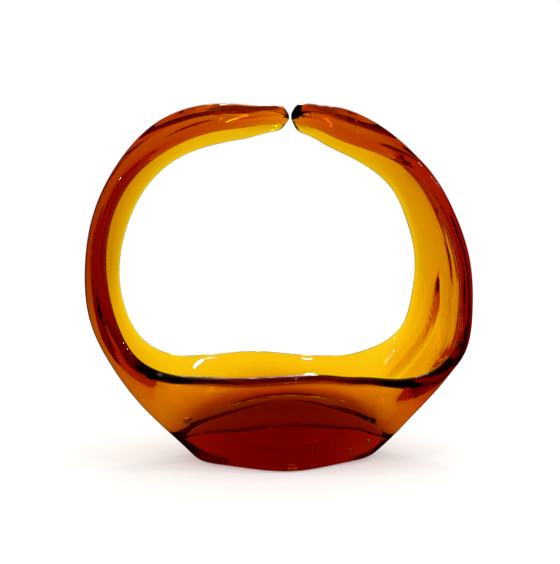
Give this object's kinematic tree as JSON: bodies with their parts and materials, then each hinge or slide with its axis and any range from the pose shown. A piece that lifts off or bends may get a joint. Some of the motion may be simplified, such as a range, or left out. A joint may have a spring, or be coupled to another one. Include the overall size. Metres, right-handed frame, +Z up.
{
  "type": "art glass bowl",
  "caption": "Thick amber glass basket bowl: low flared bowl on a solid base, its ends drawn up into channelled horns that curl over as a ring handle.",
  "frame": {"origin": "middle of the flat foot's lower face, on the surface that the bowl stands on", "axes": "+Z up through the opening of the ring handle, +X along the bowl from the left horn to the right horn, front at -Y"},
  "size_m": [0.2449, 0.102, 0.2284],
  "materials": {
    "amber_glass": "fire-polished transparent amber glass, yellow where thin and dark red where thick"
  },
  "bodies": {
    "root": {"solid_base": "amber_glass", "bowl_wall": "amber_glass", "left_horn": "amber_glass", "right_horn": "amber_glass"}
  },
  "joints": []
}
